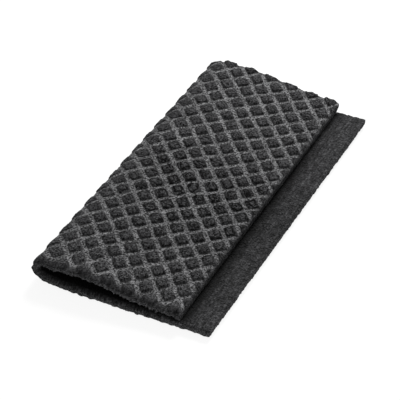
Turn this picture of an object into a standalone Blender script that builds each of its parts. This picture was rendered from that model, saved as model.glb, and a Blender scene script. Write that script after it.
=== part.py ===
"""Folded cellulose dishcloth.

One sheet of sponge cloth, smooth inside and embossed outside with a diamond field of raised pads,
folded once along Y. The lower layer reaches further out than the layer on top of it.

The sheet is made flat first: x runs across it from the top layer's free edge, y along the fold,
and z outwards from the middle of its body. It is then bent along one section line, which changes
evenly from the front end to the back end. The origin is at the bottom centre of the folded cloth.
"""

import bmesh
import bpy
import numpy as np
from mathutils import Matrix, Vector

MM = 0.001

# The sheet
CLOTH_WIDTH = 180 * MM
CLOTH_LENGTH = 200 * MM
BODY_THICKNESS = 4.1 * MM

# The embossed face
PAD_HEIGHT = 1.05 * MM
PAD_SLOPE = 0.5 * MM
CHANNEL_WIDTH = 2.2 * MM
REPEAT_ACROSS = 12.3 * MM
REPEAT_ALONG = 13.1 * MM
FIRST_PAD_ACROSS = 10.8 * MM
FIRST_PAD_ALONG = 8.5 * MM

# The cut edges: both faces round in to them, and the pads run out there
EDGE_REACH = 2.6 * MM
EDGE_SINK = {"front": 0.7 * MM, "back": 0.0 * MM, "top": 1.1 * MM, "lower": 1.0 * MM}
PAD_LEFT_AT_EDGE = {"front": 0.25, "back": 0.8, "top": 0.4, "lower": 0.25}
RIM_REACH = 2.4 * MM
RIM_SINK = {"front": 0.9 * MM, "back": 0.1 * MM, "top": 0.5 * MM, "lower": 0.9 * MM}
FREE_CORNER_REACH = 8 * MM

# The top layer's front end hangs lower than the cloth behind it, least at its free corner
DROOP = 1.3 * MM
DROOP_AT_CORNER = 0.7 * MM
DROOP_REACH = 14 * MM
DROOP_RUN_OUT = 8 * MM

# The bend: cross lines are close together only where the sheet turns
TURN_FROM = 71 * MM
TURN_TO = 95 * MM
TURN_STEP = 2.8 * MM
INNER_STEP = 6.0 * MM
LENGTHS_ALONG = 4
SECTION_STEPS = 12
CUT_MERGE = 0.001 * MM

# The middle of the sheet's body, from the top layer's free edge round to the lower one, in mm
SECTION_COLUMNS = ("place", "front_x", "front_z", "back_x", "back_z")
SECTION_ROWS = (
    ("top free edge", 81.4, 8.1, 81.4, 8.3),
    ("top edge run", 72.0, 8.6, 72.0, 9.8),
    ("top low slope", 60.0, 9.8, 60.0, 11.5),
    ("top high slope", 49.0, 11.6, 49.0, 13.4),
    ("top shoulder", 38.0, 13.6, 38.0, 15.1),
    ("top crown", 26.0, 14.7, 26.0, 16.5),
    ("top by the fold", 14.0, 14.45, 14.0, 17.1),
    ("fold's upper turn", 4.9, 13.5, 6.4, 15.4),
    ("fold's tip", 1.4, 9.4, 3.0, 10.8),
    ("fold's lower turn", 4.3, 5.8, 5.4, 6.4),
    ("lower rise", 10.5, 4.0, 11.5, 4.1),
    ("lower layer starts", 20.0, 3.25, 20.0, 3.25),
    ("lower layer", 40.0, 3.1, 40.0, 3.1),
    ("lower layer's middle", 68.0, 3.1, 68.0, 3.1),
    ("lower free edge", 97.7, 3.1, 97.7, 3.1),
)

CLOTH_RGBA = (0.035, 0.036, 0.038, 1.0)
CLOTH_ROUGHNESS = 0.95


def clear_scene():
    """Remove every object that is already in the scene."""
    for obj in list(bpy.data.objects):
        bpy.data.objects.remove(obj, do_unlink=True)


def sponge_material():
    """Dyed cellulose sponge: matt, with no metal in it."""
    material = bpy.data.materials.new("charcoal_cellulose_sponge")
    material.use_nodes = True
    shader = material.node_tree.nodes["Principled BSDF"]
    shader.inputs["Base Color"].default_value = CLOTH_RGBA
    shader.inputs["Roughness"].default_value = CLOTH_ROUGHNESS
    shader.inputs["Metallic"].default_value = 0.0
    material.diffuse_color = CLOTH_RGBA
    return material


def diamond_grid(bm):
    """A flat field of diamond cells, larger than the sheet, in step with the first pad."""
    repeats = CLOTH_WIDTH / REPEAT_ACROSS + CLOTH_LENGTH / REPEAT_ALONG
    cells = 2 * (int(repeats / 2) + 2) + 1
    bmesh.ops.create_grid(bm, x_segments=cells, y_segments=cells, size=cells / 2)
    lean = Matrix.Identity(4)
    lean[0][0:2] = (REPEAT_ACROSS / 2, REPEAT_ACROSS / 2)
    lean[1][0:2] = (REPEAT_ALONG / 2, -REPEAT_ALONG / 2)
    rows_across = round((CLOTH_WIDTH / 2 - FIRST_PAD_ACROSS) / REPEAT_ACROSS)
    rows_along = round((CLOTH_LENGTH / 2 - FIRST_PAD_ALONG) / REPEAT_ALONG)
    middle_pad = Vector(
        (
            FIRST_PAD_ACROSS + rows_across * REPEAT_ACROSS,
            FIRST_PAD_ALONG + rows_along * REPEAT_ALONG,
            BODY_THICKNESS / 2,
        )
    )
    bmesh.ops.transform(bm, matrix=Matrix.Translation(middle_pad) @ lean, verts=bm.verts)


def emboss(bm):
    """Open flat channels along the cells' borders and raise what is left of each cell."""
    if bm.faces[:][0].normal.z < 0:
        bmesh.ops.reverse_faces(bm, faces=bm.faces[:])
    shared = [edge for edge in bm.edges if not edge.is_boundary]
    made = bmesh.ops.bevel(
        bm, geom=shared, offset=CHANNEL_WIDTH / 2, offset_type="OFFSET", segments=1, affect="EDGES"
    )
    channels = set(made["faces"])
    pads = [face for face in bm.faces if face not in channels]
    bmesh.ops.inset_individual(
        bm, faces=pads, thickness=PAD_SLOPE, depth=PAD_HEIGHT, use_even_offset=True
    )


def cut(bm, faces, point, normal, drop_outer):
    """Split those of the faces that the plane crosses, and drop what lies past it if asked."""
    edges = {edge for face in faces for edge in face.edges}
    verts = {vert for face in faces for vert in face.verts}
    geometry = list(verts) + list(edges) + list(faces)
    bmesh.ops.bisect_plane(
        bm, geom=geometry, dist=CUT_MERGE, plane_co=point, plane_no=normal, clear_outer=drop_outer
    )


def trim_to_sheet(bm):
    """Cut the field to the sheet's rectangle."""
    cut(bm, bm.faces[:], (0, 0, 0), (-1, 0, 0), True)
    cut(bm, bm.faces[:], (0, 0, 0), (0, -1, 0), True)
    cut(bm, bm.faces[:], (CLOTH_WIDTH, 0, 0), (1, 0, 0), True)
    cut(bm, bm.faces[:], (0, CLOTH_LENGTH, 0), (0, 1, 0), True)


def ease(share):
    """Run smoothly from 0 to 1."""
    share = min(max(share, 0), 1)
    return share * share * (3 - 2 * share)


def nearness(across, along, reach):
    """How near a place is to each cut edge: 0 from this reach inwards and 1 at the edge."""
    distances = {
        "front": along,
        "back": CLOTH_LENGTH - along,
        "top": across,
        "lower": CLOTH_WIDTH - across,
    }
    near = {edge: 1 - ease(distance / reach) for edge, distance in distances.items()}
    near["top"] *= ease(distances["back"] / FREE_CORNER_REACH)
    return near


def pinch_edges(bm):
    """Round the embossed face down towards the cut edges, where its pads run out."""
    level = BODY_THICKNESS / 2
    for vert in bm.verts:
        across, along, height = vert.co
        near = nearness(across, along, EDGE_REACH)
        sink = max(EDGE_SINK[edge] * share for edge, share in near.items())
        pad_share = min(1 - (1 - PAD_LEFT_AT_EDGE[edge]) * share for edge, share in near.items())
        vert.co.z = level + (height - level) * pad_share - sink


def extrude_outline(bm):
    """New vertices joined to the open outline."""
    outline = [edge for edge in bm.edges if edge.is_boundary]
    made = bmesh.ops.extrude_edge_only(bm, edges=outline)["geom"]
    return [item for item in made if isinstance(item, bmesh.types.BMVert)]


def close_underneath(bm):
    """Drop walls from the outline, round them in to the smooth face and close that face."""
    for vert in extrude_outline(bm):
        near = nearness(vert.co.x, vert.co.y, RIM_REACH)
        sink = max(RIM_SINK[edge] * share for edge, share in near.items())
        vert.co.z = sink - BODY_THICKNESS / 2
    rim = extrude_outline(bm)
    for vert in rim:
        vert.co.x = min(max(vert.co.x, RIM_REACH), CLOTH_WIDTH - RIM_REACH)
        vert.co.y = min(max(vert.co.y, RIM_REACH), CLOTH_LENGTH - RIM_REACH)
        vert.co.z = -BODY_THICKNESS / 2
    bmesh.ops.remove_doubles(bm, verts=rim, dist=CUT_MERGE)
    bmesh.ops.contextual_create(bm, geom=[edge for edge in bm.edges if edge.is_boundary])


def smooth_faces(bm):
    """The faces of the sheet's smooth side."""
    level = -BODY_THICKNESS / 2
    return [face for face in bm.faces if all(abs(vert.co.z - level) < 1e-6 for vert in face.verts)]


def add_cross_lines(bm):
    """Add the lines that the sheet bends along, closest together where it turns."""
    for across in np.arange(TURN_FROM, TURN_TO, TURN_STEP):
        cut(bm, bm.faces[:], (across, 0, 0), (1, 0, 0), False)
    for across in np.arange(INNER_STEP, CLOTH_WIDTH, INNER_STEP):
        if not TURN_FROM < across < TURN_TO:
            cut(bm, smooth_faces(bm), (across, 0, 0), (1, 0, 0), False)
    for along in np.linspace(0, CLOTH_LENGTH, LENGTHS_ALONG + 1)[1:-1]:
        cut(bm, smooth_faces(bm), (0, along, 0), (0, 1, 0), False)


def section_table(end):
    """The section's points at the front or back end, in metres."""
    columns = [SECTION_COLUMNS.index(end + axis) for axis in ("_x", "_z")]
    return np.array([[row[column] * MM for column in columns] for row in SECTION_ROWS])


def smooth_line(points):
    """A curve through the points, evenly bent at each, with its length from the start at each step."""
    before = np.vstack((2 * points[0] - points[1], points, 2 * points[-1] - points[-2]))
    steps = np.linspace(0, 1, SECTION_STEPS, endpoint=False)[:, None]
    runs = []
    for p0, p1, p2, p3 in zip(before, before[1:], before[2:], before[3:]):
        leaving = (p2 - p0) / 2
        arriving = (p3 - p1) / 2
        cubic = 2 * (p1 - p2) + leaving + arriving
        square = 3 * (p2 - p1) - 2 * leaving - arriving
        runs.append(p1 + steps * (leaving + steps * (square + steps * cubic)))
    line = np.vstack(runs + [points[-1:]])
    lengths = np.concatenate(([0], np.cumsum(np.hypot(*np.diff(line, axis=0).T))))
    return line, lengths


def place_on(line, lengths, across):
    """The point of the line at this distance across the flat sheet, and its outward direction."""
    at = across * lengths[-1] / CLOTH_WIDTH
    point = np.array([np.interp(at, lengths, line[:, axis]) for axis in (0, 1)])
    tangents = np.gradient(line, lengths, axis=0)
    along = np.array([np.interp(at, lengths, tangents[:, axis]) for axis in (0, 1)])
    along /= np.hypot(*along)
    return point, np.array((along[1], -along[0]))


def droop(across):
    """How far the front end hangs down at this distance from the top layer's free edge."""
    on_top = ease((TURN_FROM - across) / DROOP_RUN_OUT + 1)
    from_corner = ease(across / TURN_FROM)
    return on_top * (DROOP_AT_CORNER + (DROOP - DROOP_AT_CORNER) * from_corner)


def stand_at_origin(bm):
    """Centre the cloth across and put its lowest pads on the floor."""
    across = [vert.co.x for vert in bm.verts]
    lowest = min(vert.co.z for vert in bm.verts)
    middle = (min(across) + max(across)) / 2
    bmesh.ops.translate(bm, vec=(-middle, 0, -lowest), verts=bm.verts)


def fold(bm):
    """Bend the flat sheet along its section line and stand it up."""
    ends = [smooth_line(section_table(end)) for end in ("front", "back")]
    for vert in bm.verts:
        across, along, outward = vert.co
        share = along / CLOTH_LENGTH
        (front, front_out), (back, back_out) = [place_on(*end, across) for end in ends]
        outwards = front_out * (1 - share) + back_out * share
        outwards /= np.hypot(*outwards)
        x, z = front * (1 - share) + back * share + outwards * outward
        z -= droop(across) * (1 - ease(along / DROOP_REACH))
        vert.co = (x, along - CLOTH_LENGTH / 2, z)
    stand_at_origin(bm)
    bmesh.ops.triangulate(bm, faces=bm.faces)
    bmesh.ops.recalc_face_normals(bm, faces=bm.faces)


def dishcloth(collection):
    """The whole cloth: embossed, trimmed, rounded at its edges and folded."""
    bm = bmesh.new()
    diamond_grid(bm)
    emboss(bm)
    trim_to_sheet(bm)
    pinch_edges(bm)
    close_underneath(bm)
    add_cross_lines(bm)
    fold(bm)
    mesh = bpy.data.meshes.new("dishcloth")
    bm.to_mesh(mesh)
    bm.free()
    mesh.materials.append(sponge_material())
    collection.objects.link(bpy.data.objects.new("dishcloth", mesh))


def main():
    """Build the cloth in a collection of its own."""
    clear_scene()
    collection = bpy.data.collections.new("folded_dishcloth")
    bpy.context.scene.collection.children.link(collection)
    dishcloth(collection)


main()
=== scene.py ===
"""Folded cellulose dishcloth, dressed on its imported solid.

One sheet of sponge cloth is cut flat, embossed with a diamond field of pads, rounded and torn a
little at its cut edges, and folded once along the same section as the solid. In the flat sheet x
runs across from the top layer's free edge, y along the fold and z outwards.
"""

import math

import bmesh
import bpy
import numpy as np
from bpy.props import FloatProperty, FloatVectorProperty, IntProperty, PointerProperty
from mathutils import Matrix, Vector


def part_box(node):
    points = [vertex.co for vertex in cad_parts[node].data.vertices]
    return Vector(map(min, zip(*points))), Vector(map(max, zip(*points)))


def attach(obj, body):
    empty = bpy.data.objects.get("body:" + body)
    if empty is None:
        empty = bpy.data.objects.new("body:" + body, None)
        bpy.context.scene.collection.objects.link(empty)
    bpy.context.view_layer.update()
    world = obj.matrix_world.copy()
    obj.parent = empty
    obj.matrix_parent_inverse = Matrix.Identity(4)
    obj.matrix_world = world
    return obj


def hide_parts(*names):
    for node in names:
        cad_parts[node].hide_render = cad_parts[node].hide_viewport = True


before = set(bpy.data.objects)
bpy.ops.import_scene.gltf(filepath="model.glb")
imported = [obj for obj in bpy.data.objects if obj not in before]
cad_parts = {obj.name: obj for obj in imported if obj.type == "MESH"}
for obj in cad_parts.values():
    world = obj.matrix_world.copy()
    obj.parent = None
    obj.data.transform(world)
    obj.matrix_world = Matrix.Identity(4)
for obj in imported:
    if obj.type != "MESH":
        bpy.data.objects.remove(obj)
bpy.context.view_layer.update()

bl_info = {
    "name": "Folded sponge dishcloth",
    "version": (1, 0, 0),
    "blender": (4, 5, 0),
    "location": "3D View > Sidebar > Dishcloth",
    "description": "Embosses, folds and finishes a cellulose sponge dishcloth",
    "category": "Add Mesh",
}

MM = 0.001
CLOTH_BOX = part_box("dishcloth")

# The middle of the sheet's body, from the top layer's free edge round to the lower one, in mm, and
# how many points the curve has between two rows
SECTION_COLUMNS = ("place", "front_x", "front_z", "back_x", "back_z")
SECTION_ROWS = (
    ("top free edge", 81.4, 8.1, 81.4, 8.3),
    ("top edge run", 72.0, 8.6, 72.0, 9.8),
    ("top low slope", 60.0, 9.8, 60.0, 11.5),
    ("top high slope", 49.0, 11.6, 49.0, 13.4),
    ("top shoulder", 38.0, 13.6, 38.0, 15.1),
    ("top crown", 26.0, 14.7, 26.0, 16.5),
    ("top by the fold", 14.0, 14.45, 14.0, 17.1),
    ("fold's upper turn", 4.9, 13.5, 6.4, 15.4),
    ("fold's tip", 1.4, 9.4, 3.0, 10.8),
    ("fold's lower turn", 4.3, 6.3, 5.4, 6.4),
    ("lower rise", 10.5, 4.7, 11.5, 4.1),
    ("lower layer starts", 20.0, 3.8, 20.0, 3.25),
    ("lower layer", 40.0, 3.3, 40.0, 3.1),
    ("lower layer's middle", 68.0, 2.9, 68.0, 3.1),
    ("lower free edge", 97.7, 3.0, 97.7, 3.1),
)
SECTION_STEPS = 24

# Each cut edge: how far the embossed face and the smooth face sink in at it, how much of a pad is
# left there, how far the cut wanders, and how far in the pads and the channels lose their contrast,
# which they do this many times as fast as they near it
EDGE_COLUMNS = ("edge", "outer_sink", "rim_sink", "pad_left", "wander", "faded")
EDGE_ROWS = (
    ("front", 0.6, 1.6, 0.25, 0.20, 5.2),
    ("back", 0.0, 0.1, 0.80, 0.20, 0.8),
    ("top", 1.1, -0.9, 0.40, 0.15, 1.6),
    ("lower", 1.0, 0.9, 0.25, 0.15, 1.6),
)
EDGES = {row[0]: dict(zip(EDGE_COLUMNS, row)) for row in EDGE_ROWS}
FADED_SHARE = 2.0

# How far in from a cut the embossed face and the smooth face are rounded. Toward the back corner
# the top layer's edge keeps its height, and the smooth face's rim is uneven all along
OUTER_REACH = 2.2 * MM
RIM_REACH = 2.4 * MM
FREE_CORNER_REACH = 8 * MM
RIM_WAVES = 0.3
RIM_WAVE_LENGTH = 2.2 * MM

# The cuts wander and bulge, with torn tufts that stand out of them
WANDER_REACH = 1.5 * MM
WANDER_LENGTH = 3.0 * MM
CUT_BULGE = 0.2 * MM
TUFTS = 3.0
TUFTS_OVER = 1.3
TUFT_LENGTH = 2.0 * MM
TUFT_SLANT = 2

# Torn sponge hangs from the top layer's front edge in short drips
DRIPS = 0.7 * MM
DRIP_LENGTH = 1.9 * MM
DRIP_SQUEEZE = 3

# A darker band along the front cut, fainter on the cut itself and under it
FRONT_BAND = 1.2 * MM
FRONT_BAND_FADE = 0.8 * MM
FRONT_BAND_UNDER = 0.3

# The embossed face is rubbed this far in from the front, where the whole cloth has painted light
RUBBED_AND_PAINTED_LIGHT_REACH = 34 * MM

# The strip of the lower layer's smooth face that the top layer leaves bare, and the face beside
# it that the top layer covers, which has painted shade: darker except at the fold's open front
# end and, a little, toward the back. The shade reaches onto the strip by the top layer's edge
STRIP = 18 * MM
STRIP_KEEPS = 0.6
COVERED = 8 * MM
FOLD_SHADE_FADE = 8 * MM
FOLD_SHADE_FRONT_START = 0.5 * MM
FOLD_SHADE_FRONT_RUN = 2.0 * MM
OPENER_FROM = 135 * MM
OPENER_BY = 175 * MM
OPENER_LOSS = 0.5

# The top layer's front end hangs lower than the cloth behind it, least at its free corner, as far
# as where the fold's turn begins
DROOP = 1.3 * MM
DROOP_AT_CORNER = 0.7 * MM
DROOP_REACH = 24 * MM
DROOP_RUN_OUT = 8 * MM
TURN_FROM = 71 * MM

# Its back end curls up a little at the free corner
LIFT = 1.2 * MM
LIFT_ACROSS = 20 * MM
LIFT_ALONG = 10 * MM

# Round the fold the outer face is stretched: its channels fill out and its pads stand lower. The
# cloth there also has painted shade
BENT_FROM = 62 * MM
BENT_TO = 92 * MM
BENT_RUN = 12 * MM
BENT_LOSS = 0.55
BENT_FILL = 0.5 * MM

# Creases pressed into the pads by handling, as soft troughs on the flat sheet, in mm and degrees
CREASE_COLUMNS = ("place", "across", "along", "length", "turn", "bend", "width", "depth")
CREASE_ROWS = (
    ("middle, toward the fold", 66.5, 94.0, 5.5, 40, 1.2, 0.7, 0.65),
    ("middle pad, long", 54.0, 95.0, 6.0, -35, 1.4, 0.8, 0.55),
    ("middle pad, deep", 42.3, 80.5, 5.0, 10, 1.6, 0.8, 0.70),
    ("crushed pad", 30.2, 93.5, 6.5, -10, 0.6, 1.2, 0.55),
    ("hooked pad", 35.5, 74.5, 5.0, 55, 1.5, 0.7, 0.60),
    ("by the free edge", 11.0, 99.0, 4.0, 80, 0.8, 0.9, 0.75),
    ("free edge, wide", 5.2, 107.5, 7.5, 5, 0.5, 0.8, 0.50),
    ("between two pads", 17.6, 80.5, 6.0, 35, -0.8, 1.0, 0.45),
    ("short hook", 23.8, 100.3, 4.0, -45, 1.0, 0.8, 0.60),
    ("front half", 23.6, 36.0, 4.5, 30, 1.1, 0.8, 0.45),
    ("front, near the fold", 61.0, 86.5, 5.0, -50, 1.2, 0.7, 0.50),
    ("rubbed streak", 54.5, 106.5, 7.0, 50, 0.4, 0.9, 0.40),
    ("fold side, deep", 66.2, 105.5, 5.0, 45, 1.0, 0.8, 0.55),
    ("back half", 48.2, 127.5, 5.0, -40, 0.9, 0.8, 0.40),
    ("back, by the fold", 60.4, 139.5, 4.0, 20, 0.9, 0.8, 0.45),
    ("near the back edge", 42.0, 184.0, 6.5, 8, 0.7, 0.8, 0.55),
    ("back spot", 66.3, 171.0, 3.5, 0, 0.8, 0.8, 0.50),
    ("strip, across", 166.5, 42.0, 8.0, 12, 0.4, 0.7, 0.35),
    ("strip, back", 171.0, 131.0, 6.0, 84, 0.3, 1.0, 0.25),
)

# How far under the body's face a place may lie and still be pressed by a crease
EMBOSS_SLACK = 0.45 * MM

# The pads across the middle are crumpled, where the cloth has been squeezed most, and the cloth
# there has painted shade
HANDLED_AT = 84 * MM
HANDLED_REACH = 44 * MM
HANDLED_RUN = 30 * MM
HANDLED_SPACING = 26 * MM
HANDLED_LEVEL = 0.8
HANDLED_SWING = 0.4
CRUMPLE_SPACING = 2.8 * MM
CRUMPLED_SHARE = 0.8

# Mesh lines across half a diamond cell, from a channel's middle toward the pad's middle, in mm, and
# rows of faces down each cut. Points nearer than the last value are one
CELL_LINES = (0.0, 0.85, 1.2, 1.55, 2.15, 3.2)
WALL_ROWS = 5
CUT_MERGE = 0.03 * MM

# The smooth face's mesh is fine where it shows, at the turn and in the strip, and coarse elsewhere
SMOOTH_STEP = 1.2 * MM
HIDDEN_STEP = 3.0 * MM
TURN_MESH = 25 * MM
STRIP_MESH = 22 * MM

# The pads' unevenness. A row has fewer pads than this, so each pad gets a number of its own
PADS_IN_A_ROW = 97
PAD_DRIFT = 0.025
PAD_CORNER = 0.15
PAD_FAR_SIDE = 0.9
PAD_LOWEST = 0.85
PAD_HIGHEST = 1.1
PAD_DOME = 0.26
PAD_DOME_REACH = 3.8 * MM
LUMP_SPACING = 3.5 * MM
ROW_WANDER = 0.6 * MM
ROW_WANDER_SPACING = 16 * MM
RAGGED = 0.38 * MM
RAGGED_SPACING = 2.0 * MM

# Soft waves are a sum of this many sines, and each use of them has a seed of its own
WAVES = 9
SEEDS = {"handled": 21, "rim": 31, "drips": 33, "wander": 11, "tufts": 12}

# The unevenness of every face along its normal, and each face's share of it
GRAIN_HEIGHT = 0.24 * MM
GRAIN_HEIGHT_SPACING = 1.3 * MM
ROUGH_SMOOTH_FACE = 0.35
ROUGH_EMBOSSED_FACE = 0.7
ROUGH_CUT = 1.0

# Each pattern in the sponge: its spacing, how many finer levels it has and how strong they are. The
# real grain and pores are a few tenths of a millimetre, and are drawn coarser so that they show
PATTERN_ROWS = (
    ("grain", 0.95 * MM, 1.0, 0.6),
    ("patches", 5.0 * MM, 2.0, 0.5),
    ("blotches", 2.2 * MM, 2.0, 0.6),
    ("curl", 3.8 * MM, 1.0, 0.5),
    ("roller lines", 0.95 * MM, 1.0, 0.5),
)
PORES = 1.5 * MM
ROLLER_STRETCH = 0.12

# Fine creases on a pad, in mm: how far apart they run, and how much each pad's height shifts them
CREASE_APART = 1.1
CREASE_SHIFT = 5

# How deep the grain's relief is drawn, and how far pores and creases stand out of it: drawn this
# way round, the pads' shaded sides look crisper
RELIEF = 0.7 * MM
PORE_RISE = 0.5
CREASE_RISE = 1.7

# What a pattern or a stored share turns into: from this span to a height, a distance or a tone
SPAN_COLUMNS = ("From Min", "From Max", "To Min", "To Max")
SPAN_ROWS = (
    ("lumps, as a pad's height", 0.3, 0.7, 0.8, 1.1),
    ("folds, as a pad's dents", 0.44, 0.6, 0.0, CRUMPLED_SHARE),
    ("waves, as a face's height", 0.25, 0.75, 1.0, -1.0),
    ("cells, as pores", 0.12, 0.34, 1.0, 0.0),
    ("grain, as a ragged border", 0.3, 0.7, -0.3, 0.3),
    ("border, as pad", 1.15, 1.45, 0.0, 1.0),
    ("rubbed, as pad", 0.0, 1.0, 1.0, 0.86),
    # Painted shade on a pad's steep sides
    ("border, as a pad's side", 1.35, 1.8, 0.5, 1.0),
    ("curl, as a crease's place", 0.3, 0.7, -1.15, 1.15),
    ("off a crease, as crease", 0.22, 0.58, 1.0, 0.0),
    ("handled, as crease", 0.0, 1.0, 0.25, 1.0),
    # Painted shade in the creases
    ("crease, as tone", 0.0, 1.0, 1.12, 0.0),
    ("grain, as flecks", 0.37, 0.66, 0.15, 2.0),
    ("pores, as tone", 0.0, 1.0, 1.0, 0.5),
    ("grain, as mottle", 0.34, 0.66, 0.0, 2.0),
    ("roller lines, as tone", 0.35, 0.65, 0.65, 1.35),
    ("blotches, as tone", 0.3, 0.7, 0.5, 1.5),
    ("grain, as specks", 0.36, 0.66, 0.45, 1.55),
    # Painted shade inside the fold
    ("in_fold, as tone", 0.0, 1.0, 1.0, 0.08),
    ("patches, as tone", 0.3, 0.7, 0.75, 1.25),
    ("front_band, as tone", 0.0, 1.0, 1.0, 0.55),
    ("cut, as tone", 0.0, 1.0, 1.0, 1.3),
    # Painted shade round the fold's turn
    ("bent, as tone", 0.0, 1.0, 1.0, 0.78),
    # Painted light at the front, where the cloth is also rubbed
    ("rubbed, as tone", 0.0, 1.0, 1.0, 1.2),
    # Painted shade across the crumpled middle
    ("handled, as tone", 0.0, 1.0, 1.0, 0.87),
)
SPANS = {name: dict(zip(SPAN_COLUMNS, span)) for name, *span in SPAN_ROWS}

# What the emboss and the flat sheet store for the finish to follow
STORED = ("border", "pad_chance", "outside", "faded", "in_fold")
STORED_SHADES = ("front_band", "cut", "bent", "rubbed", "handled")

# Dyed cellulose is matt, with hardly any shine
SPONGE_ROUGHNESS = 0.95
SPONGE_SPECULAR = 0.2

# The paper floor, in metres, and the pale studio round it
FLOOR_HALF = 4.0
FLOOR_COLOUR = "#6a6a6a"
FLOOR_ROUGHNESS = 0.9
FLOOR_GLOW = 0.895
WHITE = (1.0, 1.0, 1.0, 1.0)
SKY_STRENGTH = 0.36

# One large soft light behind the cloth and high up: its name, place, size and watts
LIGHT_ROWS = (("key_softbox", (-0.04, 0.48, 0.56), 0.33, 5.6),)

# What the camera looks at, and how far that is moved sideways and up in its view
AIM_POINT = (1.97 * MM, 0.0, 2.11 * MM)
AIM_RIGHT = -5.6 * MM
AIM_UP = -1.0 * MM
SENSOR_WIDTH = 36.0
CLIP_START = 0.05

# The kinds of node that are used most
MATH = "ShaderNodeMath"
VECTOR_MATH = "ShaderNodeVectorMath"
MAP_RANGE = "ShaderNodeMapRange"
NOISE = "ShaderNodeTexNoise"


def from_hex(code):
    """The linear colour of an sRGB hex value."""
    shares = [int(code[i : i + 2], 16) / 255 for i in (1, 3, 5)]
    return tuple(s / 12.92 if s <= 0.04045 else ((s + 0.055) / 1.055) ** 2.4 for s in shares)


def add_node(tree, kind, inputs=None, **settings):
    """Add a node with its settings, and link or set its inputs."""
    node = tree.nodes.new(kind)
    for name, value in settings.items():
        setattr(node, name, value)
    for socket, value in (inputs or {}).items():
        if isinstance(value, bpy.types.Node):
            value = value.outputs[0]
        if isinstance(value, bpy.types.NodeSocket):
            tree.links.new(value, node.inputs[socket])
        else:
            node.inputs[socket].default_value = value
    return node


def ease(share):
    """Run smoothly from 0 to 1."""
    share = np.clip(share, 0, 1)
    return share * share * (3 - 2 * share)


def unevenness(across, along, wavelength, use):
    """Soft waves between about -1 and 1, with no direction of their own."""
    rng = np.random.default_rng(SEEDS[use])
    total = np.zeros_like(across)
    for _ in range(WAVES):
        angle, phase = rng.uniform(0, 2 * math.pi, 2)
        pitch = 2 * math.pi / (wavelength * rng.uniform(0.7, 1.5))
        total += np.sin(pitch * (across * math.cos(angle) + along * math.sin(angle)) + phase)
    return total / math.sqrt(WAVES)


# ---- sizes and colours that a user would change ----


class ClothSizes(bpy.types.PropertyGroup):
    """The flat sheet that the dishcloth is cut to."""

    width: FloatProperty(
        name="Width",
        description="Size of the flat sheet around the fold",
        default=0.18,
        unit="LENGTH",
    )
    length: FloatProperty(
        name="Length",
        description="Size of the flat sheet along the fold",
        default=0.2,
        unit="LENGTH",
    )
    body: FloatProperty(
        name="Body",
        description="Thickness of the sponge between its pads",
        default=0.0041,
        unit="LENGTH",
    )


class EmbossSizes(bpy.types.PropertyGroup):
    """The diamond field of raised pads."""

    pad_height: FloatProperty(
        name="Pad height",
        description="How far a pad stands over its channel",
        default=0.0016,
        unit="LENGTH",
    )
    channel: FloatProperty(
        name="Channel",
        description="Width of the flat channel between pads",
        default=0.0026,
        unit="LENGTH",
    )
    slope: FloatProperty(
        name="Slope", description="Width of a pad's slope", default=0.00033, unit="LENGTH"
    )
    channel_depth: FloatProperty(
        name="Channel depth",
        description="How far a channel is pressed into the body",
        default=0.0003,
        unit="LENGTH",
    )
    repeat: FloatVectorProperty(
        name="Repeat",
        description="Distance from pad to pad around and along the fold",
        size=2,
        default=(0.0123, 0.01307),
        unit="LENGTH",
    )
    first: FloatVectorProperty(
        name="First pad",
        description="Middle of the first pad from the top layer's front corner",
        size=2,
        default=(0.01115, 0.00998),
        unit="LENGTH",
    )
    seed: IntProperty(name="Seed", description="Seed of the pads' unevenness", default=4)


class SpongeColours(bpy.types.PropertyGroup):
    """The dyed sponge's tones."""

    pad: FloatVectorProperty(
        name="Pads",
        description="Pressed pad tops",
        subtype="COLOR",
        default=from_hex("#373738"),
    )
    channel: FloatVectorProperty(
        name="Channels",
        description="Open sponge in the channels",
        subtype="COLOR",
        default=from_hex("#646465"),
    )
    smooth: FloatVectorProperty(
        name="Smooth face",
        description="The face inside the fold",
        subtype="COLOR",
        default=from_hex("#343435"),
    )


class StageSettings(bpy.types.PropertyGroup):
    """Where the camera stands."""

    azimuth: FloatProperty(
        name="Azimuth",
        description="Camera's turn round the cloth",
        default=math.radians(25.99),
        subtype="ANGLE",
    )
    elevation: FloatProperty(
        name="Elevation",
        description="Camera's height over the floor",
        default=math.radians(36.96),
        subtype="ANGLE",
    )
    distance: FloatProperty(
        name="Distance",
        description="From the camera to what it looks at",
        default=0.968,
        unit="LENGTH",
    )
    lens: FloatProperty(name="Lens", description="Focal length in mm", default=164.7)


# ---- the flat sheet ----


def cell_pitch():
    """The distance between two channels that run side by side."""
    repeat = bpy.context.scene.emboss_sizes.repeat
    return 1 / math.hypot(1 / repeat[0], 1 / repeat[1])


def lattice_lines(cells, far_side):
    """Where the mesh lines lie along one direction of the lattice, counted in cells."""
    pitch = cell_pitch()
    near = [step * MM / pitch - 0.5 for step in CELL_LINES]
    far = [(0.5 - step * MM / pitch) / far_side for step in reversed(CELL_LINES[1:])]
    lines = [number + step for number in range(cells) for step in near + [0.0] + far]
    return np.array(lines + [cells - 0.5]) - cells // 2


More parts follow.
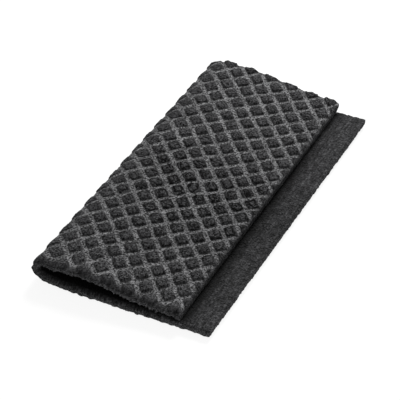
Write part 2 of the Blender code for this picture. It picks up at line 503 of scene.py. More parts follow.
def sheet_face(bm):
    """The sheet's outer face, with mesh lines along the channels' borders, cut to its rectangle."""
    sizes = bpy.context.scene.cloth_sizes
    emboss = bpy.context.scene.emboss_sizes
    repeats = sizes.width / emboss.repeat[0] + sizes.length / emboss.repeat[1]
    cells = 2 * (int(repeats / 2) + 2) + 1
    toward_back = lattice_lines(cells, PAD_FAR_SIDE)
    toward_front = lattice_lines(cells, 1.0)
    count = len(toward_back) - 1
    bmesh.ops.create_grid(bm, x_segments=count, y_segments=count, size=count / 2)
    middle = [
        first + round((size / 2 - first) / repeat) * repeat
        for first, size, repeat in zip(emboss.first, (sizes.width, sizes.length), emboss.repeat)
    ]
    across_half, along_half = (repeat / 2 for repeat in emboss.repeat)
    for vert in bm.verts:
        i = toward_back[round(vert.co.x + count / 2)]
        j = toward_front[round(vert.co.y + count / 2)]
        across = middle[0] + (i + j) * across_half
        along = middle[1] + (i - j) * along_half
        vert.co = (across, along, sizes.body / 2)
    if bm.faces[:][0].normal.z < 0:
        bmesh.ops.reverse_faces(bm, faces=bm.faces[:])
    planes = (
        ((0, 0, 0), (-1, 0, 0)),
        ((0, 0, 0), (0, -1, 0)),
        ((sizes.width, 0, 0), (1, 0, 0)),
        ((0, sizes.length, 0), (0, 1, 0)),
    )
    for point, outwards in planes:
        bmesh.ops.bisect_plane(
            bm,
            geom=bm.verts[:] + bm.edges[:] + bm.faces[:],
            dist=CUT_MERGE,
            plane_co=point,
            plane_no=outwards,
            clear_outer=True,
        )


def extrude_outline(bm):
    """New vertices joined to the open outline."""
    outline = [edge for edge in bm.edges if edge.is_boundary]
    made = bmesh.ops.extrude_edge_only(bm, edges=outline)["geom"]
    return [item for item in made if isinstance(item, bmesh.types.BMVert)]


def draw_in(bm, margin):
    """A new outline that lies at least this far inside the sheet's rectangle."""
    sizes = bpy.context.scene.cloth_sizes
    rim = extrude_outline(bm)
    for vert in rim:
        vert.co.x = min(max(vert.co.x, margin), sizes.width - margin)
        vert.co.y = min(max(vert.co.y, margin), sizes.length - margin)
    bmesh.ops.remove_doubles(bm, verts=rim, dist=CUT_MERGE)


def close_sheet(bm):
    """Drop the cut walls in rows, close the smooth face and lay mesh lines across it."""
    sizes = bpy.context.scene.cloth_sizes
    for row in range(1, WALL_ROWS + 1):
        for vert in extrude_outline(bm):
            vert.co.z = sizes.body * (0.5 - row / WALL_ROWS)
    draw_in(bm, RIM_REACH / 2)
    draw_in(bm, RIM_REACH)
    outline = [edge for edge in bm.edges if edge.is_boundary]
    face = bmesh.ops.contextual_create(bm, geom=outline)["faces"][0]
    geometry = [face] + list(face.edges) + list(face.verts)
    turn = np.arange(TURN_FROM, TURN_FROM + TURN_MESH, SMOOTH_STEP)
    strip = np.arange(sizes.width - STRIP_MESH, sizes.width, SMOOTH_STEP)
    hidden = np.arange(HIDDEN_STEP, sizes.width - STRIP_MESH, HIDDEN_STEP)
    hidden = [x for x in hidden if not turn[0] < x < turn[-1]]
    cuts = [((x, 0, 0), (1, 0, 0)) for x in np.concatenate((turn, strip, hidden))]
    cuts += [((0, y, 0), (0, 1, 0)) for y in np.arange(SMOOTH_STEP, sizes.length, SMOOTH_STEP)]
    for point, direction in cuts:
        made = bmesh.ops.bisect_plane(
            bm, geom=geometry, dist=CUT_MERGE, plane_co=point, plane_no=direction
        )
        geometry = made["geom"]


def flat_sheet():
    """The closed flat sheet as an object, with its flat places and shares stored on it."""
    bm = bmesh.new()
    sheet_face(bm)
    close_sheet(bm)
    bmesh.ops.recalc_face_normals(bm, faces=bm.faces)
    mesh = bpy.data.meshes.new("dishcloth_sheet")
    bm.to_mesh(mesh)
    bm.free()
    places = vertex_places(mesh)
    store(mesh, "flat", "FLOAT_VECTOR", places)
    for name, values in stored_shares(places).items():
        store(mesh, name, "FLOAT", values)
    return bpy.data.objects.new("dishcloth_sheet", mesh)


def stored_shares(places):
    """How far each place on the flat sheet has each trait that the emboss or the finish follows."""
    sizes = bpy.context.scene.cloth_sizes
    across, along, height = places.T
    on_outside = height > sizes.body / 2 - CUT_MERGE
    on_inside = height < CUT_MERGE - sizes.body / 2

    near = edge_nearness(across, along, OUTER_REACH)
    left = np.min([1 - (1 - EDGES[edge]["pad_left"]) * near[edge] for edge in EDGES], axis=0)
    bent = ease((across - BENT_FROM) / BENT_RUN) * (1 - ease((across - BENT_TO) / BENT_RUN))
    handled = ease((HANDLED_REACH - np.abs(along - HANDLED_AT)) / HANDLED_RUN)
    waves = unevenness(across, along, HANDLED_SPACING, "handled")
    handled *= ease(HANDLED_LEVEL + HANDLED_SWING * waves)

    faded = []
    for edge, row in EDGES.items():
        faded.append(edge_nearness(across, along, row["faded"] * MM)[edge])
    band = 1 - ease((along - FRONT_BAND) / FRONT_BAND_FADE)
    # Painted shade on the smooth face under the top layer and on the strip beside its edge
    fold_shade_share = ease((sizes.width - across - COVERED) / FOLD_SHADE_FADE)
    fold_shade_share *= on_inside * ease((along - FOLD_SHADE_FRONT_START) / FOLD_SHADE_FRONT_RUN)
    fold_shade_share *= 1 - OPENER_LOSS * ease((along - OPENER_FROM) / (OPENER_BY - OPENER_FROM))

    half = np.array([sizes.width, sizes.length]) / 2
    at_cut = np.any(np.abs(places[:, :2] - half) > half - CUT_MERGE, axis=1)
    rough = np.where(on_inside, ROUGH_SMOOTH_FACE, ROUGH_EMBOSSED_FACE)
    return {
        "outside": on_outside.astype(float),
        "pad_left": left * (1 - BENT_LOSS * bent),
        "rubbed": edge_nearness(across, along, RUBBED_AND_PAINTED_LIGHT_REACH)["front"],
        "bent": bent,
        "handled": handled * (1 - bent),
        "faded": ease(FADED_SHARE * np.max(faded, axis=0)),
        "front_band": band * np.where(on_outside, 1.0, FRONT_BAND_UNDER),
        "in_fold": fold_shade_share,
        "rough": np.where(at_cut, ROUGH_CUT, rough),
        "cut": at_cut.astype(float),
    }


def vertex_places(mesh):
    """The mesh's vertices as rows of an array."""
    places = np.empty(len(mesh.vertices) * 3)
    mesh.vertices.foreach_get("co", places)
    return places.reshape(-1, 3)


def store(mesh, name, kind, values):
    """Store one value for each vertex."""
    attribute = mesh.attributes.new(name, kind, "POINT")
    attribute.data.foreach_set("vector" if kind == "FLOAT_VECTOR" else "value", np.ravel(values))


def edge_nearness(across, along, reach):
    """How near each place is to each cut edge: 0 from this reach inwards and 1 at the edge."""
    sizes = bpy.context.scene.cloth_sizes
    distances = {
        "front": along,
        "back": sizes.length - along,
        "top": across,
        "lower": sizes.width - across,
    }
    near = {edge: 1 - ease(distance / reach) for edge, distance in distances.items()}
    near["top"] = near["top"] * ease(distances["back"] / FREE_CORNER_REACH)
    return near


# ---- the emboss, as Geometry Nodes ----


def start_tree(name, inputs):
    """A tree that takes a mesh and these inputs and gives a mesh, and what it is given."""
    tree = bpy.data.node_groups.new(name, "GeometryNodeTree")
    tree.interface.new_socket("Geometry", in_out="INPUT", socket_type="NodeSocketGeometry")
    for label, kind in inputs.items():
        tree.interface.new_socket(label, in_out="INPUT", socket_type=f"NodeSocket{kind}")
    tree.interface.new_socket("Geometry", in_out="OUTPUT", socket_type="NodeSocketGeometry")
    return tree, add_node(tree, "NodeGroupInput").outputs


def move_and_end(tree, geometry, offset, material):
    """Move the mesh's points, and end the tree in real geometry with its material on."""
    moved = add_node(tree, "GeometryNodeSetPosition", {"Geometry": geometry, "Offset": offset})
    single = add_node(tree, "GeometryNodeRealizeInstances", {"Geometry": moved})
    finished = add_node(tree, "GeometryNodeSetMaterial", {"Geometry": single, "Material": material})
    add_node(tree, "NodeGroupOutput", {"Geometry": finished})
    return tree


def emboss_tree():
    """Pads in a diamond field: each stands inside its own cell and is a little unlike the next."""
    inputs = {
        "First Pad": "Vector",
        "Repeat": "Vector",
        "Channel Width": "Float",
        "Slope Width": "Float",
        "Pad Height": "Float",
        "Channel Depth": "Float",
        "Wander": "Float",
        "Ragged": "Float",
        "Seed": "Int",
        "Material": "Material",
    }
    tree, given = start_tree("diamond_pads", inputs)
    place = add_node(tree, "GeometryNodeInputPosition")

    # A place counted in cells along the lattice's two directions
    from_first = add_node(
        tree, VECTOR_MATH, {0: place, 1: given["First Pad"]}, operation="SUBTRACT"
    )
    repeats = add_node(tree, VECTOR_MATH, {0: from_first, 1: given["Repeat"]}, operation="DIVIDE")
    counts = {}
    for socket, direction in ((0, (1, 1, 0)), (1, (1, -1, 0))):
        counts[socket] = add_node(
            tree, VECTOR_MATH, {0: repeats, 1: direction}, operation="DOT_PRODUCT"
        ).outputs["Value"]
    lattice = add_node(tree, "ShaderNodeCombineXYZ", counts)
    shifted = add_node(tree, VECTOR_MATH, {0: lattice, 1: (0.5, 0.5, 0.0)})
    cell = add_node(tree, VECTOR_MATH, {0: shifted}, operation="FLOOR")
    from_pad = add_node(tree, VECTOR_MATH, {0: lattice, 1: cell}, operation="SUBTRACT")
    number = add_node(
        tree, VECTOR_MATH, {0: cell, 1: (PADS_IN_A_ROW, 1, 0)}, operation="DOT_PRODUCT"
    ).outputs["Value"]

    # Each pad sits a little off its place
    drift = add_node(
        tree,
        "FunctionNodeRandomValue",
        {
            "Min": (-PAD_DRIFT, -PAD_DRIFT, 0),
            "Max": (PAD_DRIFT, PAD_DRIFT, 0),
            "ID": number,
            "Seed": given["Seed"],
        },
        data_type="FLOAT_VECTOR",
    )
    off_place = add_node(tree, VECTOR_MATH, {0: from_pad, 1: drift})
    far_apart = add_node(
        tree, VECTOR_MATH, {0: off_place, 1: (PAD_FAR_SIDE, 1, 1)}, operation="MULTIPLY"
    )
    near_apart = add_node(tree, VECTOR_MATH, {0: off_place, "Scale": -1.0}, operation="SCALE")
    apart = add_node(tree, VECTOR_MATH, {0: far_apart, 1: near_apart}, operation="MAXIMUM")
    sides = add_node(tree, "ShaderNodeSeparateXYZ", {0: apart})
    furthest = add_node(
        tree,
        MATH,
        {0: sides.outputs["X"], 1: sides.outputs["Y"], 2: PAD_CORNER},
        operation="SMOOTH_MAX",
    )

    # The distance from the channel's middle line
    per_repeat = add_node(tree, VECTOR_MATH, {0: (1, 1, 0), 1: given["Repeat"]}, operation="DIVIDE")
    steepness = add_node(tree, VECTOR_MATH, {0: per_repeat}, operation="LENGTH")
    inside = add_node(tree, MATH, {0: 0.5, 1: furthest}, operation="SUBTRACT")
    border = add_node(tree, MATH, {0: inside, 1: steepness.outputs["Value"]}, operation="DIVIDE")

    # Rows wander a little and every border is ragged, so the mesh lines move with them
    sideways = None
    for amount, spacing, detail in (
        (given["Wander"], ROW_WANDER_SPACING, 0.0),
        (given["Ragged"], RAGGED_SPACING, 2.0),
    ):
        waves = add_node(tree, NOISE, {"Vector": place, "Scale": 1 / spacing, "Detail": detail})
        centred = add_node(
            tree, VECTOR_MATH, {0: waves.outputs["Color"], 1: (0.5, 0.5, 0.5)}, operation="SUBTRACT"
        )
        in_plane = add_node(tree, VECTOR_MATH, {0: centred, 1: (2, 2, 0)}, operation="MULTIPLY")
        step = add_node(tree, VECTOR_MATH, {0: in_plane, "Scale": amount}, operation="SCALE")
        if sideways:
            step = add_node(tree, VECTOR_MATH, {0: sideways, 1: step})
        sideways = step

    # The pad's rise: a steep side, then a soft dome
    foot = add_node(tree, MATH, {0: given["Channel Width"], 1: 0.5}, operation="MULTIPLY")
    shoulder = add_node(tree, MATH, {0: foot, 1: given["Slope Width"]}, operation="ADD")
    side = add_node(
        tree,
        MAP_RANGE,
        {"Value": border, "From Min": foot, "From Max": shoulder, "To Max": 1 - PAD_DOME},
    )
    dome = add_node(
        tree,
        MAP_RANGE,
        {"Value": border, "From Min": foot, "From Max": PAD_DOME_REACH, "To Max": PAD_DOME},
        interpolation_type="SMOOTHSTEP",
    )
    rise = add_node(tree, MATH, {0: side, 1: dome})

    # Its height: some pads stand lower, every top is lumpy, and handling crumples it
    pad_chance = add_node(
        tree,
        "FunctionNodeRandomValue",
        {"Min": PAD_LOWEST, "Max": 1.0, "ID": number, "Seed": given["Seed"]},
        data_type="FLOAT",
    ).outputs[1]
    lumps = add_node(tree, NOISE, {"Vector": place, "Scale": 1 / LUMP_SPACING, "Detail": 1.0})
    lump_share = add_node(tree, MAP_RANGE, {"Value": lumps, **SPANS["lumps, as a pad's height"]})
    folds = add_node(tree, NOISE, {"Vector": place, "Scale": 1 / CRUMPLE_SPACING, "Detail": 1.0})
    dent = add_node(tree, MAP_RANGE, {"Value": folds, **SPANS["folds, as a pad's dents"]})
    stored = {}
    for name in ("handled", "pad_left", "outside", "bent"):
        stored[name] = add_node(
            tree, "GeometryNodeInputNamedAttribute", {"Name": name}, data_type="FLOAT"
        )
    crumpled = add_node(tree, MATH, {0: dent, 1: stored["handled"]}, operation="MULTIPLY")
    standing = add_node(tree, MATH, {0: PAD_HIGHEST, 1: crumpled}, operation="SUBTRACT")
    height = rise
    for share in (given["Pad Height"], pad_chance, lump_share, standing, stored["pad_left"]):
        height = add_node(tree, MATH, {0: height, 1: share}, operation="MULTIPLY")

    # The channels are pressed in, and round the fold they fill out
    pressed = add_node(
        tree, MATH, {0: given["Channel Depth"], 1: stored["pad_left"]}, operation="MULTIPLY"
    )
    over_body = add_node(tree, MATH, {0: height, 1: pressed}, operation="SUBTRACT")
    filled = add_node(tree, MATH, {0: stored["bent"], 1: BENT_FILL}, operation="MULTIPLY")
    level = add_node(tree, MATH, {0: over_body, 1: filled})
    out = add_node(tree, MATH, {0: level, 1: stored["outside"]}, operation="MULTIPLY")
    raised = add_node(tree, "ShaderNodeCombineXYZ", {2: out})
    on_face = add_node(
        tree, VECTOR_MATH, {0: sideways, "Scale": stored["outside"]}, operation="SCALE"
    )
    offset = add_node(tree, VECTOR_MATH, {0: on_face, 1: raised})

    # The finish follows the distance to the channel, in mm, and the pad's own chance
    border_mm = add_node(tree, MATH, {0: border, 1: 1 / MM}, operation="MULTIPLY")
    marked = given["Geometry"]
    for name, value in (("border", border_mm), ("pad_chance", pad_chance)):
        marked = add_node(
            tree,
            "GeometryNodeStoreNamedAttribute",
            {"Geometry": marked, "Name": name, "Value": value},
            data_type="FLOAT",
            domain="POINT",
        )
    return move_and_end(tree, marked, offset, given["Material"])


def grain_tree():
    """Open sponge: every face is uneven along its normal, most at the torn cut edges."""
    inputs = {"Height": "Float", "Spacing": "Float", "Material": "Material"}
    tree, given = start_tree("open_sponge_grain", inputs)
    flat = add_node(
        tree, "GeometryNodeInputNamedAttribute", {"Name": "flat"}, data_type="FLOAT_VECTOR"
    )
    rough = add_node(tree, "GeometryNodeInputNamedAttribute", {"Name": "rough"}, data_type="FLOAT")
    scale = add_node(tree, MATH, {0: 1.0, 1: given["Spacing"]}, operation="DIVIDE")
    waves = add_node(tree, NOISE, {"Vector": flat, "Scale": scale, "Detail": 1.0})
    level = add_node(tree, MAP_RANGE, {"Value": waves, **SPANS["waves, as a face's height"]})
    share = add_node(tree, MATH, {0: level, 1: rough}, operation="MULTIPLY")
    height = add_node(tree, MATH, {0: share, 1: given["Height"]}, operation="MULTIPLY")
    outwards = add_node(tree, "GeometryNodeInputNormal")
    offset = add_node(tree, VECTOR_MATH, {0: outwards, "Scale": height}, operation="SCALE")
    return move_and_end(tree, given["Geometry"], offset, given["Material"])


def run_tree(sheet, tree, values):
    """Run the tree on the object with these inputs, and keep the result as a plain mesh."""
    modifier = sheet.modifiers.new(tree.name, "NODES")
    modifier.node_group = tree
    for item in tree.interface.items_tree:
        if item.in_out == "INPUT" and item.name in values:
            modifier[item.identifier] = values[item.name]
    bpy.context.view_layer.update()
    graph = bpy.context.evaluated_depsgraph_get()
    mesh = bpy.data.meshes.new_from_object(
        sheet.evaluated_get(graph), preserve_all_data_layers=True, depsgraph=graph
    )
    sheet.modifiers.remove(modifier)
    sheet.data = mesh


# ---- the fold ----


def smooth_line(points):
    """A curve through the points, evenly bent at each, and its length up to each step."""
    before = np.vstack((2 * points[0] - points[1], points, 2 * points[-1] - points[-2]))
    steps = np.linspace(0, 1, SECTION_STEPS, endpoint=False)[:, None]
    runs = []
    for p0, p1, p2, p3 in zip(before, before[1:], before[2:], before[3:]):
        leaving = (p2 - p0) / 2
        arriving = (p3 - p1) / 2
        cubic = 2 * (p1 - p2) + leaving + arriving
        square = 3 * (p2 - p1) - 2 * leaving - arriving
        runs.append(p1 + steps * (leaving + steps * (square + steps * cubic)))
    line = np.vstack(runs + [points[-1:]])
    lengths = np.concatenate(([0], np.cumsum(np.hypot(*np.diff(line, axis=0).T))))
    return line, lengths


def section_places(end, across):
    """The section's point and outward direction at each distance across the flat sheet."""
    columns = [SECTION_COLUMNS.index(end + axis) for axis in ("_x", "_z")]
    rows = np.array([[row[column] * MM for column in columns] for row in SECTION_ROWS])
    line, lengths = smooth_line(rows)
    at = across * lengths[-1] / bpy.context.scene.cloth_sizes.width
    tangents = np.gradient(line, lengths, axis=0)
    points = np.stack([np.interp(at, lengths, line[:, axis]) for axis in (0, 1)], axis=1)
    along = np.stack([np.interp(at, lengths, tangents[:, axis]) for axis in (0, 1)], axis=1)
    along /= np.hypot(along[:, 0], along[:, 1])[:, None]
    return points, np.stack((along[:, 1], -along[:, 0]), axis=1)


def droop(across):
    """How far the front end hangs down at this distance from the top layer's free edge."""
    on_top = ease((TURN_FROM - across) / DROOP_RUN_OUT + 1)
    return on_top * (DROOP_AT_CORNER + (DROOP - DROOP_AT_CORNER) * ease(across / TURN_FROM))


def lift(across, from_back):
    """How far the free back corner curls up."""
    return LIFT * (1 - ease(across / LIFT_ACROSS)) * (1 - ease(from_back / LIFT_ALONG))


def worn_edges(places):
    """Round both faces in at the cut edges, and let the cuts wander."""
    sizes = bpy.context.scene.cloth_sizes
    across, along, height = places.T
    side = np.clip(height / sizes.body + 0.5, 0, 1)
    outer = edge_nearness(across, along, OUTER_REACH)
    inner = edge_nearness(across, along, RIM_REACH)
    inner["top"] = 1 - ease(across / RIM_REACH)

    # Both faces sink in, the smooth one unevenly, and the bare strip keeps most of its face
    outer_sink = np.max([EDGES[edge]["outer_sink"] * MM * outer[edge] for edge in EDGES], axis=0)
    inner_sinks = [EDGES[edge]["rim_sink"] * MM * inner[edge] for edge in EDGES]
    inner_sink = np.max(inner_sinks, axis=0) + np.min(inner_sinks, axis=0)
    inner_sink *= 1 + RIM_WAVES * unevenness(across, along, RIM_WAVE_LENGTH, "rim")
    inner_sink *= 1 - STRIP_KEEPS * ease((across - sizes.width + STRIP + COVERED) / COVERED)
    drips = np.maximum(unevenness(across, DRIP_SQUEEZE * along, DRIP_LENGTH, "drips"), 0)
    drips = DRIPS * inner["front"] * (1 - side) ** 2 * drips * (across < TURN_FROM)
    moved = places.copy()
    moved[:, 2] = height - outer_sink * side + (inner_sink - drips) * (1 - side)

    # The cuts wander and bulge, with a tuft where the waves stand highest
    wander = unevenness(across, along + height, WANDER_LENGTH, "wander")
    tufts = unevenness(across + TUFT_SLANT * height, along - height, TUFT_LENGTH, "tufts")
    wander += TUFTS * np.maximum(tufts - TUFTS_OVER, 0)
    bulge = CUT_BULGE * (1 - (2 * side - 1) ** 2)
    near = edge_nearness(across, along, WANDER_REACH)
    outwards = {"front": (1, -1), "back": (1, 1), "top": (0, -1), "lower": (0, 1)}
    for edge, (axis, sign) in outwards.items():
        moved[:, axis] += sign * near[edge] * (wander * EDGES[edge]["wander"] * MM + bulge)
    return moved


def fold_places(places):
    """Bend flat places along the section line, into the solid's place."""
    sizes = bpy.context.scene.cloth_sizes
    across, along, outward = places.T
    share = np.clip(along / sizes.length, 0, 1)[:, None]
    front, front_out = section_places("front", across)
    back, back_out = section_places("back", across)
    outwards = front_out * (1 - share) + back_out * share
    outwards /= np.hypot(outwards[:, 0], outwards[:, 1])[:, None]
    folded = front * (1 - share) + back * share + outwards * outward[:, None]
    folded[:, 1] -= droop(across) * (1 - ease(along / DROOP_REACH))
    folded[:, 1] += lift(across, sizes.length - along)
    low, high = CLOTH_BOX
    x = folded[:, 0] + high.x - SECTION_ROWS[-1][1] * MM
    return np.stack((x, along - sizes.length / 2, folded[:, 1] + low.z), axis=1)


def creased(places):
    """Press each crease into its face: the pads, or the lower layer's bare strip."""
    sizes = bpy.context.scene.cloth_sizes
    across, along, height = places.T
    pressed = places.copy()
    for row in CREASE_ROWS:
        crease = dict(zip(CREASE_COLUMNS, row))
        turn, half = math.radians(crease["turn"]), crease["length"] * MM / 2
        from_x, from_y = across - crease["across"] * MM, along - crease["along"] * MM
        run = (from_x * math.cos(turn) + from_y * math.sin(turn)) / half
        off = from_y * math.cos(turn) - from_x * math.sin(turn) - crease["bend"] * MM * run**2
        share = np.exp(-((off / (crease["width"] * MM)) ** 2)) * (1 - ease(2 * np.abs(run) - 1))
        face = -1 if crease["across"] * MM > sizes.width - STRIP else 1
        on_face = face * height > sizes.body / 2 - CUT_MERGE - EMBOSS_SLACK
        pressed[:, 2] -= face * crease["depth"] * MM * share * on_face
    return pressed


def fold_sheet(sheet):
    """Crease the embossed sheet, round its edges and fold it, in its own mesh."""
    mesh = sheet.data
    places = fold_places(worn_edges(creased(vertex_places(mesh))))
    mesh.vertices.foreach_set("co", np.ravel(places))

    # The upper layer runs towards -X, so the fold mirrors the sheet: its faces are turned back
    mesh.flip_normals()
    mesh.update()


def settle(sheet):
    """Lay the sheet on the floor with smooth shading."""
    mesh = sheet.data
    places = vertex_places(mesh)
    places[:, 2] = np.maximum(places[:, 2], CLOTH_BOX[0].z)
    mesh.vertices.foreach_set("co", np.ravel(places))
    mesh.polygons.foreach_set("use_smooth", [True] * len(mesh.polygons))
    mesh.update()


# ---- finish ----


def sponge_material():
    """Dyed cellulose sponge, pressed hot in a mould and dried.

    It has no shine. The pads are pressed dense, so they look dark and finely mottled. The channels
    between them stay open, so they look paler, with torn flecks and pits.
    """
    colours = bpy.context.scene.sponge_colours
    material = bpy.data.materials.new("charcoal_cellulose_sponge")
    material.use_nodes = True
    tree = material.node_tree
    stored = {}
    for name in STORED + STORED_SHADES:
        stored[name] = add_node(tree, "ShaderNodeAttribute", attribute_name=name).outputs["Fac"]
    flat = add_node(tree, "ShaderNodeAttribute", attribute_name="flat").outputs["Vector"]

    # The sponge's own patterns. The smooth face has faint lines along the fold, from the roller
    stretched = add_node(
        tree, VECTOR_MATH, {0: flat, 1: (1.0, ROLLER_STRETCH, 1.0)}, operation="MULTIPLY"
    )
    drawn_on = {"roller lines": stretched}
    pattern = {}
    for name, spacing, detail, strength in PATTERN_ROWS:
        pattern[name] = add_node(
            tree,
            NOISE,
            {
                "Vector": drawn_on.get(name, flat),
                "Scale": 1 / spacing,
                "Detail": detail,
                "Roughness": strength,
            },
        )
    grain = pattern["grain"]
    cells = add_node(tree, "ShaderNodeTexVoronoi", {"Vector": flat, "Scale": 1 / PORES})
    pore = add_node(tree, MAP_RANGE, {"Value": cells, **SPANS["cells, as pores"]})

    # Where a pad begins, with a border as ragged as the grain, and less of a pad where it is rubbed
    drift = add_node(tree, MAP_RANGE, {"Value": grain, **SPANS["grain, as a ragged border"]})
    reached = add_node(tree, MATH, {0: stored["border"], 1: drift})
    pad_here = add_node(
        tree,
        MAP_RANGE,
        {"Value": reached, **SPANS["border, as pad"]},
        interpolation_type="SMOOTHSTEP",
    )
    worn = add_node(tree, MAP_RANGE, {"Value": stored["rubbed"], **SPANS["rubbed, as pad"]})
    on_pad = add_node(tree, MATH, {0: pad_here, 1: worn}, operation="MULTIPLY")

    # Fine creases that follow a pad's border, drawn as relief and as painted shade: strong across
    # the crumpled middle, and shifted from pad to pad
    crease_at = add_node(
        tree, MAP_RANGE, {"Value": pattern["curl"], **SPANS["curl, as a crease's place"]}
    )
    shift = add_node(
        tree,
        MATH,
        {0: stored["pad_chance"], 1: CREASE_SHIFT, 2: crease_at},
        operation="MULTIPLY_ADD",
    )
    from_crease = add_node(tree, MATH, {0: stored["border"], 1: shift}, operation="SUBTRACT")
    off_crease = add_node(tree, MATH, {0: from_crease, 1: CREASE_APART}, operation="PINGPONG")
    crease = add_node(tree, MAP_RANGE, {"Value": off_crease, **SPANS["off a crease, as crease"]})
    creased_here = add_node(
        tree, MAP_RANGE, {"Value": stored["handled"], **SPANS["handled, as crease"]}
    )
    for share in (creased_here, on_pad):
        crease = add_node(tree, MATH, {0: crease, 1: share}, operation="MULTIPLY")

    # Each surface's colour is its own tone times what makes it lighter and darker: flecks and pits
    # in a channel; mottle on a pad, with painted shade in its creases and on its sides; specks and
    # lines on the smooth face
    tones_of = {
        "channel": {"grain, as flecks": grain, "pores, as tone": pore},
        "pad": {
            "crease, as tone": crease,
            "border, as a pad's side": stored["border"],
            "grain, as mottle": grain,
        },
        "smooth": {
            "grain, as specks": grain,
            "roller lines, as tone": pattern["roller lines"],
            "blotches, as tone": pattern["blotches"],
        },
    }
    surface = {}
    for name, tones in tones_of.items():
        surface[name] = tuple(getattr(colours, name))
        for span, value in tones.items():
            tone = add_node(tree, MAP_RANGE, {"Value": value, **SPANS[span]})
            surface[name] = add_node(
                tree, VECTOR_MATH, {0: surface[name], "Scale": tone}, operation="SCALE"
            )

    # The embossed face turns smooth at its cuts; inside the fold the smooth face has painted shade
    deep = add_node(tree, MAP_RANGE, {"Value": stored["in_fold"], **SPANS["in_fold, as tone"]})
    inner = add_node(tree, VECTOR_MATH, {0: surface["smooth"], "Scale": deep}, operation="SCALE")
    base = surface["channel"]
    for share, over in ((on_pad, surface["pad"]), (stored["faded"], surface["smooth"])):
        base = add_node(
            tree, "ShaderNodeMix", {0: share, 6: base, 7: over}, data_type="RGBA"
        ).outputs[2]
    base = add_node(
        tree, "ShaderNodeMix", {0: stored["outside"], 6: inner, 7: base}, data_type="RGBA"
    ).outputs[2]

    # The whole cloth is lighter and darker in broad patches, darker along the front cut and
    # lighter on its cuts. It has painted shade round the fold's turn and across the crumpled
    # middle, and painted light at the rubbed front
    shades = {"patches": pattern["patches"]}
    shades.update((name, stored[name]) for name in STORED_SHADES)
    for name, value in shades.items():
        tone = add_node(tree, MAP_RANGE, {"Value": value, **SPANS[f"{name}, as tone"]})
        base = add_node(tree, VECTOR_MATH, {0: base, "Scale": tone}, operation="SCALE")
    shader = tree.nodes["Principled BSDF"]
    tree.links.new(base.outputs[0], shader.inputs["Base Color"])
    shader.inputs["Roughness"].default_value = SPONGE_ROUGHNESS
    shader.inputs["Specular IOR Level"].default_value = SPONGE_SPECULAR

    # Grain goes in; pores and creases stand up
    relief = add_node(tree, MATH, {0: 0.0, 1: grain}, operation="SUBTRACT")
    for share, rise in ((pore, PORE_RISE), (crease, CREASE_RISE)):
        raised = add_node(tree, MATH, {0: share, 1: rise}, operation="MULTIPLY")
        relief = add_node(tree, MATH, {0: relief, 1: raised})
    bump = add_node(tree, "ShaderNodeBump", {"Strength": 1.0, "Distance": RELIEF, "Height": relief})
    tree.links.new(bump.outputs[0], shader.inputs["Normal"])
    return material


def paper_material():
    """White studio paper, matt and evenly lit: only the faintest shade shows on it."""
    material = bpy.data.materials.new("white_paper_floor")
    material.use_nodes = True
    inputs = material.node_tree.nodes["Principled BSDF"].inputs
    inputs["Base Color"].default_value = (*from_hex(FLOOR_COLOUR), 1)
    inputs["Roughness"].default_value = FLOOR_ROUGHNESS
    inputs["Emission Color"].default_value = WHITE
    inputs["Emission Strength"].default_value = FLOOR_GLOW
    return material


# ---- operators ----


class DISHCLOTH_OT_cloth(bpy.types.Operator):
    """Cut, emboss, fold and finish the sheet"""

    bl_idname = "dishcloth.cloth"
    bl_label = "Make the cloth"

    def execute(self, context):
        emboss = context.scene.emboss_sizes
        material = sponge_material()
        sheet = flat_sheet()
        context.scene.collection.objects.link(sheet)
        pads = {
            "First Pad": (*emboss.first, 0.0),
            "Repeat": (*emboss.repeat, 1.0),
            "Channel Width": emboss.channel,
            "Slope Width": emboss.slope,
            "Pad Height": emboss.pad_height,
            "Channel Depth": emboss.channel_depth,
            "Wander": ROW_WANDER,
            "Ragged": RAGGED,
            "Seed": emboss.seed,
            "Material": material,
        }
        grain = {"Height": GRAIN_HEIGHT, "Spacing": GRAIN_HEIGHT_SPACING, "Material": material}
        run_tree(sheet, emboss_tree(), pads)
        fold_sheet(sheet)
        run_tree(sheet, grain_tree(), grain)
        settle(sheet)
        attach(sheet, "root")
        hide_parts("dishcloth")
        return {"FINISHED"}


def aim(thing, place, target):
    """Put a light or the camera at a place, facing a target."""
    thing.location = place
    thing.rotation_mode = "QUATERNION"
    thing.rotation_quaternion = (Vector(target) - Vector(place)).to_track_quat("-Z", "Y")


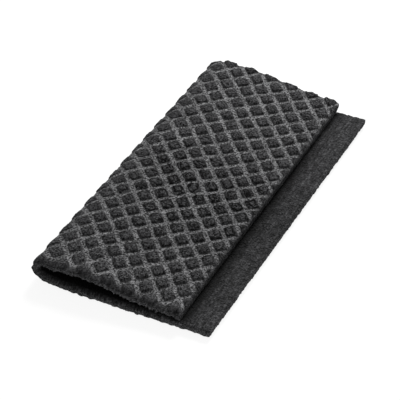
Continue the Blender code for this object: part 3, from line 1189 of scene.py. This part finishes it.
class DISHCLOTH_OT_stage(bpy.types.Operator):
    """Set the pale floor, the soft light and the camera"""

    bl_idname = "dishcloth.stage"
    bl_label = "Set the stage"

    def execute(self, context):
        scene = context.scene
        stage = scene.stage_settings
        scene.view_settings.view_transform = "Standard"
        scene.view_settings.look = "None"

        low = CLOTH_BOX[0].z
        sides = ((-1, -1), (1, -1), (1, 1), (-1, 1))
        corners = [(x * FLOOR_HALF, y * FLOOR_HALF, low) for x, y in sides]
        floor_mesh = bpy.data.meshes.new("floor")
        floor_mesh.from_pydata(corners, [], [(0, 1, 2, 3)])
        floor_mesh.materials.append(paper_material())
        floor = bpy.data.objects.new("floor", floor_mesh)
        scene.collection.objects.link(floor)

        world = bpy.data.worlds.new("studio")
        world.use_nodes = True
        world.node_tree.nodes["Background"].inputs["Color"].default_value = WHITE
        world.node_tree.nodes["Background"].inputs["Strength"].default_value = SKY_STRENGTH
        scene.world = world

        for name, place, size, power in LIGHT_ROWS:
            lamp = bpy.data.lights.new(name, "AREA")
            lamp.shape = "DISK"
            lamp.size = size
            lamp.energy = power
            light = bpy.data.objects.new(name, lamp)
            scene.collection.objects.link(light)
            aim(light, place, (0, 0, 0))

        turn, rise = stage.azimuth, stage.elevation
        level = math.cos(rise)
        back = Vector((math.sin(turn) * level, -math.cos(turn) * level, math.sin(rise)))
        right = Vector((math.cos(turn), math.sin(turn), 0))
        up = back.cross(right)
        target = Vector(AIM_POINT) + right * AIM_RIGHT + up * AIM_UP
        lens = bpy.data.cameras.new("camera")
        lens.lens = stage.lens
        lens.sensor_width = SENSOR_WIDTH
        lens.clip_start = CLIP_START
        camera = bpy.data.objects.new("camera", lens)
        scene.collection.objects.link(camera)
        aim(camera, target + back * stage.distance, target)
        scene.camera = camera
        return {"FINISHED"}


class DISHCLOTH_PT_panel(bpy.types.Panel):
    """Lists the pieces and the stage"""

    bl_label = "Dishcloth"
    bl_idname = "DISHCLOTH_PT_panel"
    bl_space_type = "VIEW_3D"
    bl_region_type = "UI"
    bl_category = "Dishcloth"

    def draw(self, context):
        for group_name in GROUPS:
            group = getattr(context.scene, group_name)
            box = self.layout.box()
            for name in group.bl_rna.properties.keys():
                if name not in {"rna_type", "name"}:
                    box.prop(group, name)
        self.layout.operator("dishcloth.cloth")
        self.layout.operator("dishcloth.stage")


CLASSES = (
    ClothSizes,
    EmbossSizes,
    SpongeColours,
    StageSettings,
    DISHCLOTH_OT_cloth,
    DISHCLOTH_OT_stage,
    DISHCLOTH_PT_panel,
)
GROUPS = {
    "cloth_sizes": ClothSizes,
    "emboss_sizes": EmbossSizes,
    "sponge_colours": SpongeColours,
    "stage_settings": StageSettings,
}


def register():
    """Add the classes and the scene's groups."""
    for item in CLASSES:
        bpy.utils.register_class(item)
    for name, group in GROUPS.items():
        setattr(bpy.types.Scene, name, PointerProperty(type=group))


def unregister():
    """Take the classes and the groups away again."""
    for name in GROUPS:
        delattr(bpy.types.Scene, name)
    for item in reversed(CLASSES):
        bpy.utils.unregister_class(item)


def main():
    """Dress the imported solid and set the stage."""
    register()
    bpy.ops.dishcloth.cloth()
    bpy.ops.dishcloth.stage()


if __name__ == "__main__":
    main()
